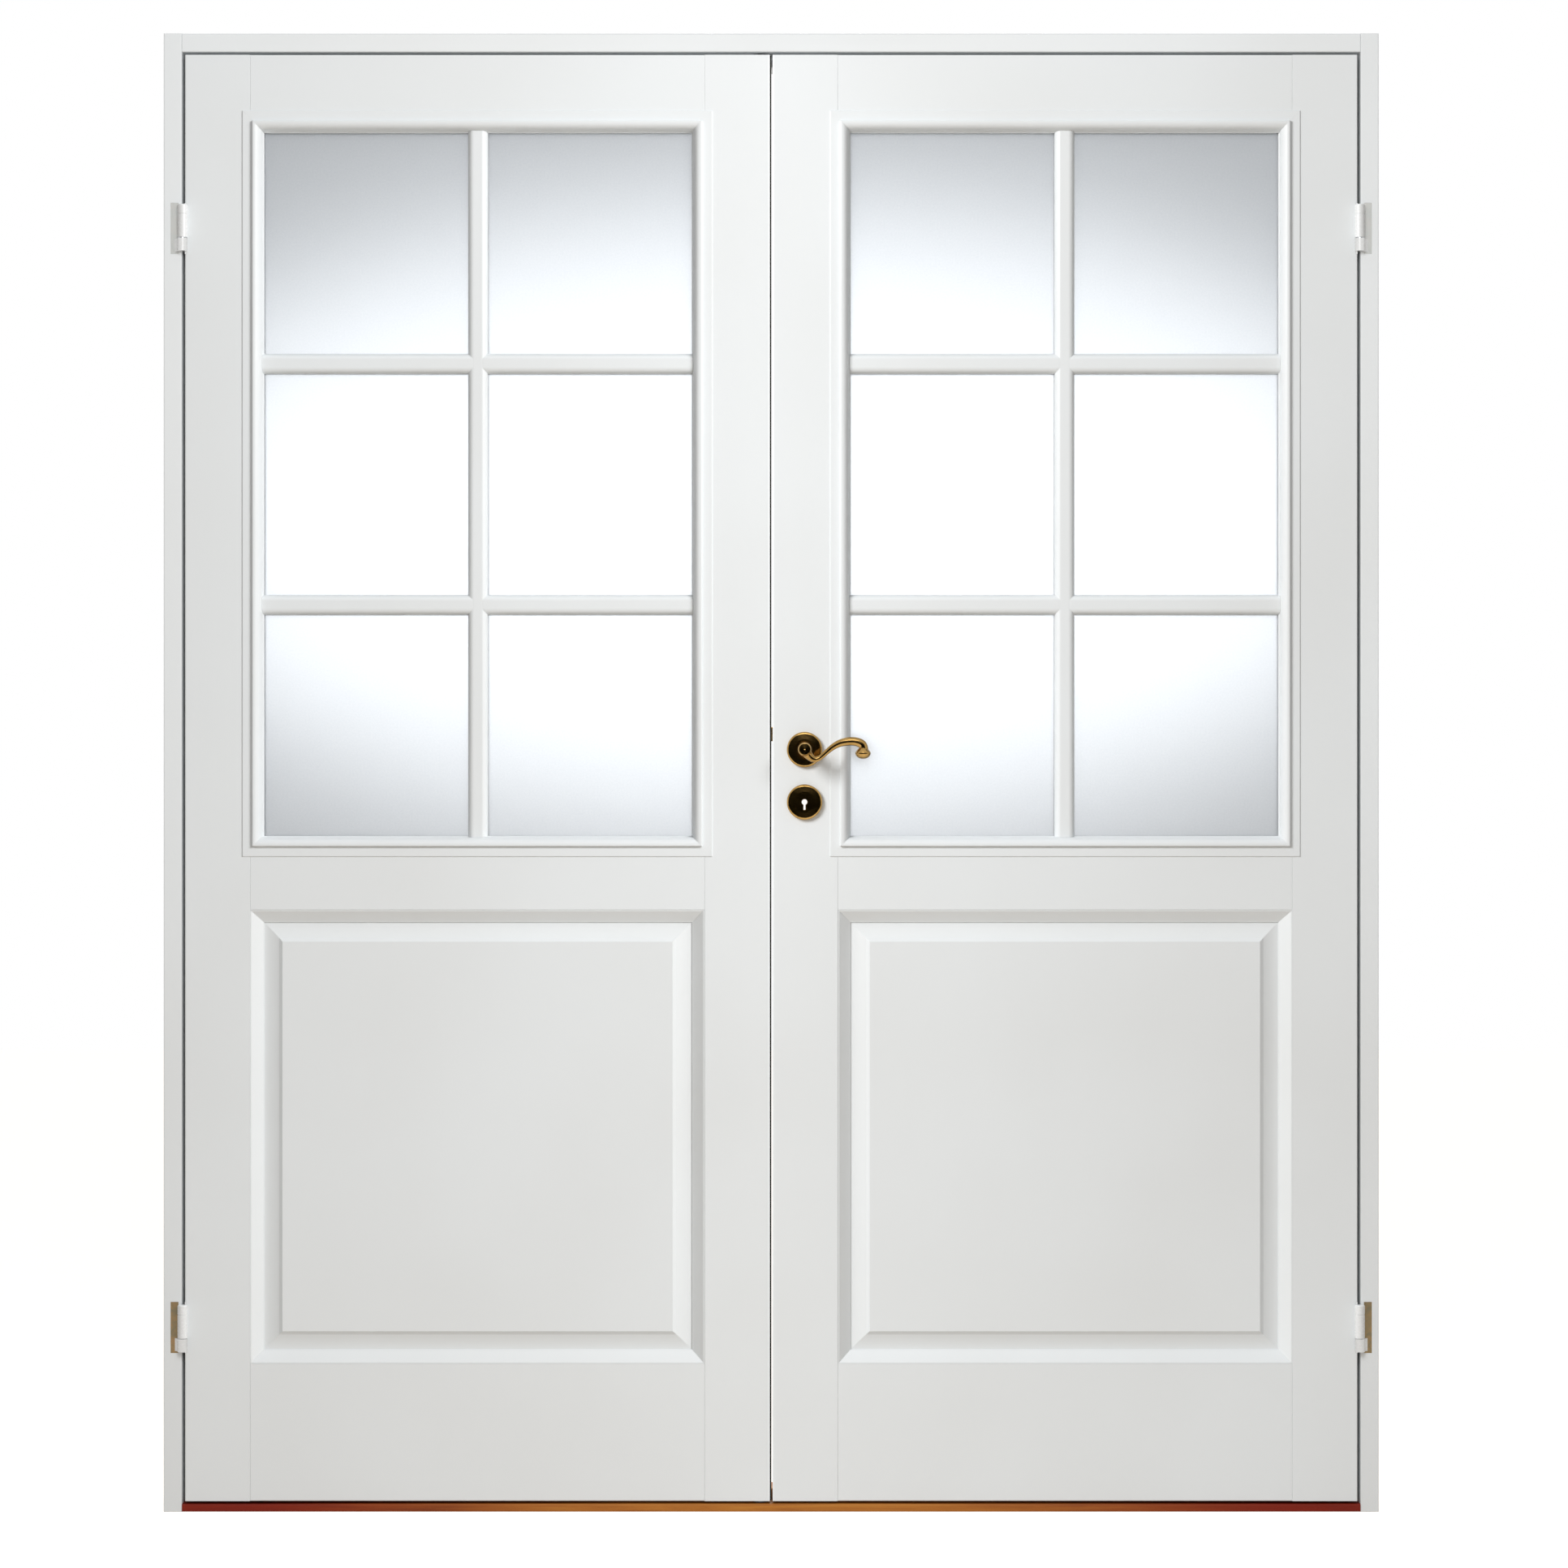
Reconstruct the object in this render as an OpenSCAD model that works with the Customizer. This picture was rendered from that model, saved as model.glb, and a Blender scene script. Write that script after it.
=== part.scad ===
// Pair of glazed panel doors in a rebated frame, shown closed.
// X runs across the doorway, Y from the front face to the back, Z is up.
// The origin is on the floor, midway across the doorway and midway through the frame.

/* [Leaves] */
// Width of one leaf
leaf_w = 825; // [725:5:925]
// Height of one leaf
leaf_h = 2040; // [1940:5:2140]
// Thickness of stiles and rails
leaf_t = 40; // [38:1:44]
// Width of the stiles
stile_w = 92; // [88:1:110]
// Height of the top rail
top_rail_h = 90; // [80:1:120]
// Height of the lock rail, between glass and panel
lock_rail_h = 86; // [80:1:110]
// Height of the bottom rail
bottom_rail_h = 194; // [180:1:230]
// Height of the panel opening
panel_h = 640; // [560:5:720]
// Rounding of the leaf and frame edges
arris_r = 2; // [1:0.5:3]
// Chamfer where a rail meets a stile
joint_chamfer = 0.3; // [0.2:0.1:1]
// Diameter of the dowels in the rail joints
dowel_d = 12; // [8:1:16]
// How far a dowel enters each piece
dowel_depth = 50; // [30:5:60]

/* [Gaps] */
// Gap between leaf and jamb
side_gap = 4; // [3:0.5:6]
// Gap between the two leaves
meeting_gap = 4; // [3.5:0.5:6]
// Gap between leaf and head
top_gap = 4; // [3:0.5:6]
// Gap between leaf and threshold
bottom_gap = 4; // [3:0.5:6]
// Gap between the back of a leaf and its stop
stop_gap = 2; // [1.5:0.5:4]

/* [Frame] */
// Depth of the frame through the wall
frame_depth = 92; // [80:1:150]
// Width of the frame's front face
frame_face = 26; // [24:1:40]
// How far the stop stands out behind the leaf
stop_w = 14; // [10:1:18]
// Height of the threshold under the leaf
threshold_h = 11; // [10:1:16]
// How far the threshold's stop stands above the leaf's lower edge
threshold_lap = 10; // [6:1:16]
// Diameter of the fixing holes in the jambs
fixing_d = 14; // [8:1:16]
// Distance from the frame's ends to the nearest fixing hole
fixing_inset = 190; // [120:10:240]
// Distance between the two fixing holes of a pair
fixing_pitch = 600; // [450:10:700]
// Diameter of the screws at the frame corners
frame_screw_d = 5; // [4:0.5:6]
// Length of the screws at the frame corners
frame_screw_l = 80; // [70:5:100]

/* [Panel] */
// Width of the moulding round the panel
panel_moulding_w = 18; // [14:1:24]
// Width of the panel's sloped margin
panel_bevel_w = 22; // [16:1:30]
// Width of the small step up to the field
panel_step_w = 5; // [3:0.5:7]
// Height of the small step up to the field
panel_step_h = 4.5; // [2:0.5:6]
// Thickness of the panel's edge
panel_edge_t = 10; // [8:1:12]
// Thickness of the field
panel_field_t = 32; // [28:1:36]
// How far the panel enters its groove
panel_tongue = 9; // [6:1:12]
// Room round the panel in its groove
panel_play = 0.5; // [0.3:0.1:1]

/* [Glazing] */
// Thickness of the glass
glass_t = 5; // [4:1:6]
// Room between glass and frame
glass_play = 0.8; // [0.5:0.1:3]
// How far the bead's lip laps over stile and rail
bead_lap = 11; // [8:1:14]
// How far the bead stands proud of the leaf
bead_proud = 6.5; // [5:0.5:8]
// Width of the bead inside the opening
bead_w = 18; // [16:1:24]
// Width of the glazing bars
bar_w = 28; // [20:1:36]
// Thickness of the glazing bars
bar_depth = 13; // [10:1:15]
// Width of the flat along the top of a bar
bar_flat_w = 11; // [6:1:14]
// Panes from side to side
pane_columns = 2; // [1:1:3]
// Panes from top to bottom
pane_rows = 3; // [2:1:4]

/* [Hinges] */
// Distance from leaf end to hinge centre
hinge_inset = 245; // [180:5:300]
// Height of a whole hinge barrel
hinge_h = 66; // [60:1:72]
// Height of the lower knuckle, on the frame
knuckle_h = 18; // [16:1:22]
// Diameter of the barrel
barrel_d = 14; // [12:0.5:15]
// Diameter of the pin
pin_d = 8; // [6:0.5:9]
// Distance of the pin's axis in front of the leaf
hinge_out = 8; // [8:0.5:12]
// Height of the hinge plates
hinge_plate_h = 72; // [70:1:90]
// Thickness of the hinge plates
hinge_plate_t = 2.5; // [2:0.5:4]
// Width of the plate on the jamb
jamb_plate_w = 11; // [10:1:14]
// Distance from the jamb's edge to that plate
jamb_plate_inset = 5; // [3:0.5:6]
// Width of the plate in the leaf's edge
leaf_plate_w = 30; // [24:1:34]
// Thickness of the washer between the knuckles
washer_t = 1; // [0.8:0.1:2]
// Radial running clearance of pins and spindles
run_play = 0.05; // [0.03:0.01:0.1]
// Diameter of the hinge screws
hinge_screw_d = 4; // [3:0.5:5]
// Length of the hinge screws
hinge_screw_l = 30; // [25:1:40]

/* [Lock and lever] */
// Height of the spindle above the lock rail
spindle_rise = 140; // [132:1:180]
// Distance from the leaf's edge to the spindle
backset = 45; // [45:1:50]
// Distance from spindle down to keyhole
key_drop = 74; // [70:1:90]
// Side of the square spindle
spindle_s = 8; // [7:0.5:9]
// Diameter of roses and escutcheons
rose_d = 50; // [46:1:56]
// Thickness of roses and escutcheons
rose_t = 9; // [7:0.5:12]
// Diameter of the lever's neck
neck_d = 18; // [16:0.5:20]
// Distance of the lever in front of the leaf
lever_out = 44; // [40:1:55]
// Diameter of the foot at the lever's end
foot_d = 22; // [18:1:26]
// Thickness of the lock case
case_t = 14; // [13:1:16]
// Depth of the lock case
case_depth = 72; // [70:1:78]
// Width of the lock's face plate
face_plate_w = 22; // [20:1:24]
// Thickness of the plates in the meeting edges
edge_plate_t = 2.5; // [2:0.5:3]
// Height of the latch bolt
latch_h = 20; // [16:1:22]
// Thickness of the latch bolt
latch_t = 11; // [10:1:12]
// Projection of the latch bolt
latch_throw = 11; // [9:0.5:12]
// Height of the dead bolt
dead_h = 24; // [20:1:28]
// Thickness of the dead bolt
dead_t = 10; // [8:1:12]
// Travel of the dead bolt
dead_throw = 14; // [10:1:16]
// Room round a sliding bolt
bolt_play = 0.3; // [0.2:0.05:0.5]
// Room round a bolt in its keep
keep_play = 1; // [0.6:0.1:2]

/* [Flush bolts and seal] */
// Diameter of the flush bolts
flush_d = 10; // [8:1:12]
// Length of a flush bolt
flush_l = 150; // [130:5:155]
// Travel of a flush bolt
flush_throw = 14; // [10:1:14]
// Distance from the leaf's edge to a flush bolt
flush_in = 13; // [11:0.5:16]
// Length of a flush bolt's plate
flush_plate_l = 180; // [175:5:240]
// Width of a flush bolt's plate
flush_plate_w = 20; // [18:1:24]
// Depth of the seal behind the front face
seal_in = 4; // [3:0.5:5]
// Thickness of the seal's root
seal_t = 3; // [2:0.5:4]
// Gap between the seal's fin and the other leaf
seal_clear = 1.8; // [1.7:0.1:2.5]

/* [Hidden] */
$fn = 48;
eps = 0.5;
white = "#E3E5E3";
oak = "#A5662E";
brass = "#B28B3A";
steel = "#B9BCC0";
chromate = "#8B7355";
seal_grey = "#3B3936";
glass_tint = [0.88, 0.91, 0.92, 0.6];
pine = "#D8B98A";

leaf_z = threshold_h + bottom_gap;
leaf_y = -frame_depth / 2;
frame_half_w = leaf_w + meeting_gap / 2 + side_gap + frame_face;
frame_h = leaf_z + leaf_h + top_gap + frame_face;
rebate_half_w = frame_half_w - frame_face;
stop_half_w = rebate_half_w - stop_w;
stop_y = leaf_y + leaf_t + stop_gap;
back_y = frame_depth / 2;
head_z = frame_h - frame_face;
threshold_stop_h = leaf_z + threshold_lap;
fixing_ends = [fixing_inset, frame_h - fixing_inset];
fixing_z = concat(fixing_ends, fixing_ends + [fixing_pitch, -fixing_pitch]);

opening_w = leaf_w - 2 * stile_w;
panel_z = bottom_rail_h;
lock_rail_z = panel_z + panel_h;
glass_z = lock_rail_z + lock_rail_h;
glass_opening_h = leaf_h - top_rail_h - glass_z;
glass_face = (leaf_t - glass_t) / 2;
panel_face = (leaf_t - panel_edge_t) / 2;
bead_lip_t = 1.5;
bead_step = 3.5;
mitre_gap = 0.06;
cove_steps = 6;
edge_screw_l = 22;
mortise_play = 2;
mortise_end = 8;
thumb_play = 1;
groove_depth = panel_tongue + 1;

hinge_x = -side_gap / 2;
hinge_z = [hinge_inset, leaf_h - hinge_inset];
sleeve_z = -hinge_h / 2 + knuckle_h + washer_t + 0.2;
pin_hold_play = 0.01;
ring_drop = 14;

spindle_z = glass_z + spindle_rise;
key_z = spindle_z - key_drop;
case_top = 45;
case_foot = 46;
case_bottom = key_drop + case_foot;
face_plate_margin = 30;
latch_rise = 22;
latch_tail = 26;
dead_tail = 30;
rose_rim = 3.5;
rose_bolt_d = 4;
rose_bolt_offset = 19;
rose_bolt_depth = 4;
strike_w = 24;
strike_margin = 22;
hub_in = spindle_s + 14;
key_d = 8;
key_bit_w = 3;
key_bit_h = 11;
mid_y = leaf_t / 2;
thumb_h = 16;
thumb_t = 6;
thumb_z = 110;
flush_guide_l = 30;
keep_flange = 2;
keep_flange_t = 1.5;
keep_wall = 2.4;
keep_l = 14;

// Centre line of the lever as [reach, rise, radius], from neck to foot
lever_line = [
    [-6, 9, 8.5], [0, 0, 8.5], [6, -9, 6], [13, -14, 4.4], [21, -12, 3.7], [30, -4.5, 3.7], [39, 3, 4.4],
    [49, 8.4, 5.2], [61, 11, 6], [72, 10.6, 6.2], [80, 7, 6.3], [82.5, 1, 6.4], [82, -4, 6.8], [81.5, -12, 6.8]
];
foot_drop = 8.5;
lever_steps = 4;
lever_sides = 20;

// Points of a quarter ellipse from one point to another, level at the first and upright at the last
function quarter(from, to, n = 8) =
    [for (i = [0:n]) [
        from[0] + (to[0] - from[0]) * sin(90 * i / n),
        from[1] + (to[1] - from[1]) * (1 - cos(90 * i / n))
    ]];

// Glazing bead section: first the distance into the opening, then the depth below the leaf's face
function bead_section() = concat(
    [[0, 0], [-bead_lap, 0], [-bead_lap, -bead_lip_t + 0.6], [-bead_lap + 0.6, -bead_lip_t]],
    [[bead_step, -bead_lip_t], [bead_step, -bead_proud + 1], [bead_step + 1, -bead_proud]],
    quarter([bead_step + 2.5, -bead_proud], [bead_w - 1.5, glass_face - 8]),
    [[bead_w, glass_face - 6.5], [bead_w, glass_face], [0, glass_face]]
);

// Panel moulding section, measured like the bead's
function panel_moulding_section() = concat(
    [[0, panel_face], [0, 0.4], [1.2, 0.4], [2.4, 1]],
    [[panel_moulding_w - 1.5, panel_face - 2.4], [panel_moulding_w, panel_face - 1.6]],
    [[panel_moulding_w, panel_face]]
);

// Glazing bar section: across the bar, then the depth below the leaf's face
function bar_side(play) =
    quarter([bar_flat_w / 2 + play, glass_face - bar_depth - play], [bar_w / 2 + play, glass_face - 3]);
function bar_section(play) = concat(
    bar_side(play),
    [[bar_w / 2 + play, glass_face], [-bar_w / 2 - play, glass_face]],
    [for (i = [len(bar_side(play)) - 1:-1:0]) [-bar_side(play)[i][0], bar_side(play)[i][1]]]
);

// Edge of the panel's section: tongue, hollow margin that steepens towards the field, and a small step
function panel_edge(a, b, c, d, e, f) = concat(
    [[a, e]],
    [for (i = [0:cove_steps]) let(t = i / cove_steps) [b + (c - b) * t, e + (f - panel_step_h - e) * pow(t, 1.6)]],
    [[d, f]]
);

// Panel section across one direction, for an opening of the given size
function panel_half(size) = let(
        a = -panel_tongue,
        b = panel_moulding_w,
        c = panel_moulding_w + panel_bevel_w,
        d = c + panel_step_w,
        e = panel_edge_t / 2,
        f = panel_field_t / 2
    ) [
        each panel_edge(a, b, c, d, e, f),
        each [for (i = [cove_steps + 2:-1:0]) let(p = panel_edge(a, b, c, d, e, f)[i]) [size - p[0], p[1]]]
    ];
function panel_section(size) = concat(
    panel_half(size),
    [for (i = [len(panel_half(size)) - 1:-1:0]) [panel_half(size)[i][0], -panel_half(size)[i][1]]]
);

// Point on the smooth line through a list of points, by span and share of the span
function line_point(p, i, t) = let(
        a = p[max(i - 1, 0)], b = p[i], c = p[i + 1], d = p[min(i + 2, len(p) - 1)]
    )
    0.5 * (2 * b + (c - a) * t + (2 * a - 5 * b + 4 * c - d) * t * t + (3 * b - a - 3 * c + d) * t * t * t);

// Extrusions along X, with the section's first value up and its second towards the back, and along Y
module along_x(length) translate([length, 0, 0]) rotate([0, -90, 0]) linear_extrude(length) children();
module along_y(length) translate([0, length, 0]) rotate([90, 0, 0]) linear_extrude(length) children();

// Rectangle with rounded corners, from its lowest to its highest corner
module rounded_rect(low, high, r) {
    translate([low[0] + r, low[1]]) square([high[0] - low[0] - 2 * r, high[1] - low[1]]);
    translate([low[0], low[1] + r]) square([high[0] - low[0], high[1] - low[1] - 2 * r]);
    for (x = [low[0] + r, high[0] - r])
        for (y = [low[1] + r, high[1] - r])
            translate([x, y]) circle(r);
}

// Box from its lowest to its highest corner
module block(low, high) translate(low) cube(high - low);

// Countersunk screw that points along +Z from its flush head
module screw(d, l) {
    cylinder(d1 = 2 * d, d2 = d, h = d / 2);
    cylinder(d = d, h = l);
}

// Leaf frame of reference: X from the hinge edge inwards, Y from the front face, Z from the lower edge
module on_leaf(side)
    mirror([side > 0 ? 1 : 0, 0, 0])
        translate([-rebate_half_w + side_gap, leaf_y, leaf_z])
            children();

// Meeting edge frame of reference: X from the edge into the leaf
module on_meeting_edge(side)
    mirror([side < 0 ? 1 : 0, 0, 0])
        translate([meeting_gap / 2, leaf_y, leaf_z])
            children();

// Both hinges of a leaf, each about its own centre
module at_hinges() for (z = hinge_z) translate([0, 0, z]) children();

// FRAME

module jamb(side)
    mirror([side > 0 ? 1 : 0, 0, 0])
        difference() {
            translate([-frame_half_w, 0, 0])
                linear_extrude(frame_h) {
                    rounded_rect([0, leaf_y], [frame_face, back_y], arris_r);
                    rounded_rect([0, stop_y], [frame_face + stop_w, back_y], arris_r);
                }
            for (z = fixing_z)
                translate([-frame_half_w - eps, fixing_y(), z])
                    rotate([0, 90, 0])
                        cylinder(d = fixing_d, h = frame_face + stop_w + 2 * eps);
            corner_screws();
            translate([-rebate_half_w + side_gap, leaf_y, leaf_z]) {
                at_hinges() jamb_plate();
                at_hinges() jamb_plate_screws();
            }
        }

function fixing_y() = (stop_y + back_y) / 2;

module jamb_left() color(white) jamb(-1);
module jamb_right() color(white) jamb(1);

module frame_head()
    color(white)
        difference() {
            union() {
                translate([-rebate_half_w, 0, 0])
                    along_x(2 * rebate_half_w)
                        intersection() {
                            rounded_rect([head_z, leaf_y], [frame_h, back_y], arris_r);
                            translate([head_z, leaf_y]) square([frame_face, stop_y - leaf_y]);
                        }
                translate([-stop_half_w, 0, 0])
                    along_x(2 * stop_half_w)
                        rounded_rect([head_z - stop_w, stop_y], [frame_h, back_y], arris_r);
            }
            both_corner_screws();
            keep_bush_place(head_z, 0) keep_bush_hole();
        }

module threshold()
    color(oak)
        difference() {
            union() {
                translate([-rebate_half_w, 0, 0])
                    along_x(2 * rebate_half_w)
                        intersection() {
                            rounded_rect([0, leaf_y], [threshold_h, back_y], arris_r);
                            translate([0, leaf_y]) square([threshold_h, stop_y - leaf_y]);
                        }
                translate([-stop_half_w, 0, 0])
                    along_x(2 * stop_half_w)
                        rounded_rect([0, stop_y], [threshold_stop_h, back_y], arris_r);
            }
            both_corner_screws();
            keep_bush_place(threshold_h, 1) keep_bush_hole();
        }

// Screws through the left jamb into head and threshold
module corner_screws()
    for (p = [
            [(leaf_y + stop_y) / 2, frame_h - frame_face / 2],
            [fixing_y(), frame_h - frame_face / 2],
            [stop_y + 12, threshold_stop_h / 2],
            [back_y - 12, threshold_stop_h / 2]
        ])
        translate([-frame_half_w, p[0], p[1]])
            rotate([0, 90, 0])
                screw(frame_screw_d, frame_screw_l);

module both_corner_screws() {
    corner_screws();
    mirror([1, 0, 0]) corner_screws();
}

module frame_screws() color(steel) both_corner_screws();

// Bushes that take the flush bolts, under the head and in the threshold
module keep_bush_place(z, flip)
    translate([-meeting_gap / 2 - flush_in, leaf_y + mid_y, z])
        mirror([0, 0, flip])
            children();

module keep_bush_hole() {
    cylinder(d = flush_d + 2 * (keep_play + keep_wall + keep_flange), h = keep_flange_t);
    cylinder(d = flush_d + 2 * (keep_play + keep_wall), h = keep_l);
    translate([0, 0, -eps]) cylinder(d = flush_d + 2 * keep_play, h = keep_l + eps);
}

module keep_bush(l)
    difference() {
        intersection() {
            keep_bush_hole();
            cylinder(d = 4 * flush_d, h = l);
        }
        translate([0, 0, -eps]) cylinder(d = flush_d + 2 * keep_play, h = l + 2 * eps);
    }

module bolt_keeps()
    color(steel) {
        keep_bush_place(head_z, 0) keep_bush(keep_l);
        keep_bush_place(threshold_h, 1) keep_bush(threshold_h);
    }

// HINGES

// Plate let into the jamb's face, about the hinge centre
module jamb_plate()
    block(
        [-side_gap - jamb_plate_inset - jamb_plate_w, 0, -hinge_plate_h / 2],
        [-side_gap - jamb_plate_inset, hinge_plate_t, hinge_plate_h / 2]
    );

module jamb_plate_screws()
    for (z = [hinge_plate_h / 2 - 9, 2])
        translate([-side_gap - jamb_plate_inset - jamb_plate_w / 2, 0, z])
            rotate([-90, 0, 0])
                screw(hinge_screw_d - 0.5, hinge_screw_l);

module on_both_jambs() for (side = [-1, 1]) on_leaf(side) at_hinges() children();

module hinge_plates()
    color(chromate)
        on_both_jambs()
            difference() {
                jamb_plate();
                jamb_plate_screws();
            }

module hinge_plate_screws() color(chromate) on_both_jambs() jamb_plate_screws();

// Lower knuckle with the tongue that joins it to the jamb's plate
module knuckle()
    difference() {
        translate([0, 0, -hinge_h / 2])
            linear_extrude(knuckle_h) {
                translate([hinge_x, -hinge_out]) circle(d = barrel_d);
                polygon([
                    [hinge_x, -hinge_out - barrel_d / 4],
                    [hinge_x - barrel_d / 2, -hinge_out + barrel_d / 4],
                    [-side_gap - jamb_plate_inset - 5, 0],
                    [-side_gap - jamb_plate_inset, 0],
                    [hinge_x, -hinge_out + barrel_d / 4]
                ]);
            }
        translate([hinge_x, -hinge_out, -hinge_h / 2 - eps])
            cylinder(d = pin_d + 2 * pin_hold_play, h = knuckle_h + 2 * eps);
    }

module hinge_knuckles() color(white) on_both_jambs() knuckle();

module hinge_pins()
    color(steel)
        on_both_jambs()
            translate([hinge_x, -hinge_out, -hinge_h / 2])
                cylinder(d = pin_d, h = hinge_h - 8);

module hinge_washers()
    color(steel)
        on_both_jambs()
            translate([hinge_x, -hinge_out, -hinge_h / 2 + knuckle_h])
                difference() {
                    cylinder(d = barrel_d, h = washer_t);
                    translate([0, 0, -eps]) cylinder(d = pin_d + 2 * run_play, h = washer_t + 2 * eps);
                }

// Upper sleeve with the plate that is let into the leaf's edge
module leaf_plate()
    block([0, 0, -hinge_plate_h / 2], [hinge_plate_t, leaf_plate_w, hinge_plate_h / 2]);

module leaf_plate_screws()
    for (z = [-1, 0, 1] * (hinge_plate_h / 2 - 10))
        translate([0, leaf_plate_w / 2, z])
            rotate([0, 90, 0])
                screw(hinge_screw_d, hinge_screw_l);

module sleeve()
    difference() {
        union() {
            leaf_plate();
            block([0, -hinge_out, sleeve_z], [hinge_plate_t, eps, hinge_h / 2 - 2]);
            translate([hinge_x, -hinge_out, sleeve_z])
                rotate_extrude()
                    polygon(concat(
                        [[0, 0], [barrel_d / 2, 0]],
                        [for (p = [[0, -0.8], [-0.5, -0.4], [-0.5, 0.4], [0, 0.8]])
                            [barrel_d / 2 + p[0], hinge_h / 2 - sleeve_z - ring_drop + p[1]]],
                        [for (i = [0:6]) [
                            barrel_d / 2 - 2 * (1 - cos(15 * i)),
                            hinge_h / 2 - sleeve_z - 2 * (1 - sin(15 * i))
                        ]],
                        [[0, hinge_h / 2 - sleeve_z]]
                    ));
        }
        translate([hinge_x, -hinge_out, sleeve_z - eps])
            cylinder(d = pin_d + 2 * run_play, h = hinge_h / 2 - sleeve_z - 6 + eps);
        leaf_plate_screws();
    }

module hinge_sleeves(side) color(white) on_leaf(side) at_hinges() sleeve();
module hinge_screws(side) color(steel) on_leaf(side) at_hinges() leaf_plate_screws();

// LEAVES

// Stile against the hinge edge, with the groove for the panel
module stile()
    difference() {
        linear_extrude(leaf_h)
            intersection() {
                rounded_rect([0, 0], [stile_w + 2 * arris_r, leaf_t], arris_r);
                square([stile_w, leaf_t]);
            }
        block(
            [stile_w - groove_depth, (leaf_t - panel_edge_t) / 2 - panel_play, panel_z - groove_depth],
            [stile_w + eps, (leaf_t + panel_edge_t) / 2 + panel_play, lock_rail_z + groove_depth]
        );
        dowels();
    }

module hinge_stile(side)
    color(white)
        on_leaf(side)
            difference() {
                stile();
                at_hinges() leaf_plate();
                at_hinges() leaf_plate_screws();
            }

module plain_meeting_stile(side)
    on_leaf(side)
        translate([leaf_w, 0, 0])
            mirror([1, 0, 0])
                stile();

module left_meeting_stile()
    color(white)
        difference() {
            plain_meeting_stile(-1);
            on_meeting_edge(-1) {
                strike_plate_shape();
                strike_pockets(0);
                strike_screws();
                at_flush_bolts() flush_bolt_mortise();
                at_flush_bolts() flush_plate_screws();
                seal_kerf();
            }
        }

module right_meeting_stile()
    color(white)
        difference() {
            plain_meeting_stile(1);
            on_meeting_edge(1) {
                face_plate_shape();
                face_plate_screws();
                case_mortise();
                translate([backset, -eps, spindle_z])
                    rotate([-90, 0, 0])
                        cylinder(d = neck_d + 2, h = leaf_t + 2 * eps);
                key_slot(-eps, leaf_t + eps);
                rose_bolt_rods(rose_bolt_d + 0.4, 0);
            }
        }

// Rail of a given height, with chamfered ends
module rail(z, h, round_low, round_high)
    intersection() {
        translate([stile_w, 0, z])
            along_x(opening_w)
                intersection() {
                    rounded_rect(
                        [round_low ? 0 : -2 * arris_r, 0],
                        [round_high ? h : h + 2 * arris_r, leaf_t],
                        arris_r
                    );
                    square([h, leaf_t]);
                }
        translate([stile_w, 0, z])
            linear_extrude(h)
                polygon([
                    [joint_chamfer, 0], [opening_w - joint_chamfer, 0],
                    [opening_w, joint_chamfer], [opening_w, leaf_t - joint_chamfer],
                    [opening_w - joint_chamfer, leaf_t], [joint_chamfer, leaf_t],
                    [0, leaf_t - joint_chamfer], [0, joint_chamfer]
                ]);
    }

module panel_groove()
    block(
        [stile_w - eps, (leaf_t - panel_edge_t) / 2 - panel_play, panel_z - groove_depth],
        [stile_w + opening_w + eps, (leaf_t + panel_edge_t) / 2 + panel_play, lock_rail_z + groove_depth]
    );

module top_rail(side)
    color(white)
        on_leaf(side)
            difference() {
                rail(leaf_h - top_rail_h, top_rail_h, false, true);
                both_dowels();
            }

module lock_rail(side)
    color(white)
        on_leaf(side)
            difference() {
                rail(lock_rail_z, lock_rail_h, false, false);
                panel_groove();
                both_dowels();
            }

module bottom_rail(side)
    color(white)
        on_leaf(side)
            difference() {
                rail(0, bottom_rail_h, true, false);
                panel_groove();
                both_dowels();
            }

// Dowels between the rails and the stile at the hinge edge
module dowels()
    for (z = [
            leaf_h - top_rail_h * 0.72, leaf_h - top_rail_h * 0.28,
            lock_rail_z + lock_rail_h * 0.3, lock_rail_z + lock_rail_h * 0.72,
            bottom_rail_h * 0.2, bottom_rail_h * 0.5, bottom_rail_h * 0.8
        ])
        translate([stile_w - dowel_depth, mid_y, z])
            rotate([0, 90, 0])
                cylinder(d = dowel_d, h = 2 * dowel_depth);

module both_dowels() {
    dowels();
    translate([leaf_w, 0, 0]) mirror([1, 0, 0]) dowels();
}

module leaf_dowels(side) color(pine) on_leaf(side) both_dowels();

// Raised and fielded panel: the same section both ways gives mitred margins
module panel(side)
    color(white)
        on_leaf(side)
            translate([stile_w, mid_y, panel_z])
                intersection() {
                    translate([0, 0, -panel_tongue])
                        linear_extrude(panel_h + 2 * panel_tongue)
                            polygon(panel_section(opening_w));
                    translate([-panel_tongue, 0, 0])
                        along_x(opening_w + 2 * panel_tongue)
                            polygon(panel_section(panel_h));
                }

// Four mitred strips of one section round an opening, from its lower corner at the hinge side
module strip_low(w, lap, section)
    translate([-lap, 0, 0]) along_x(w + 2 * lap) polygon(section);

module strip_side(h, lap, section)
    translate([0, 0, -lap]) linear_extrude(h + 2 * lap) polygon(section);

module mitre_low(w, lap, reach)
    translate([0, -leaf_t, 0])
        along_y(3 * leaf_t)
            polygon([
                [mitre_gap - lap, -lap], [w + lap - mitre_gap, -lap],
                [w - reach - mitre_gap, reach], [reach + mitre_gap, reach]
            ]);

module mitre_side(h, lap, reach)
    translate([0, -leaf_t, 0])
        along_y(3 * leaf_t)
            polygon([[-lap, -lap], [reach, reach], [reach, h - reach], [-lap, h + lap]]);

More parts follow.
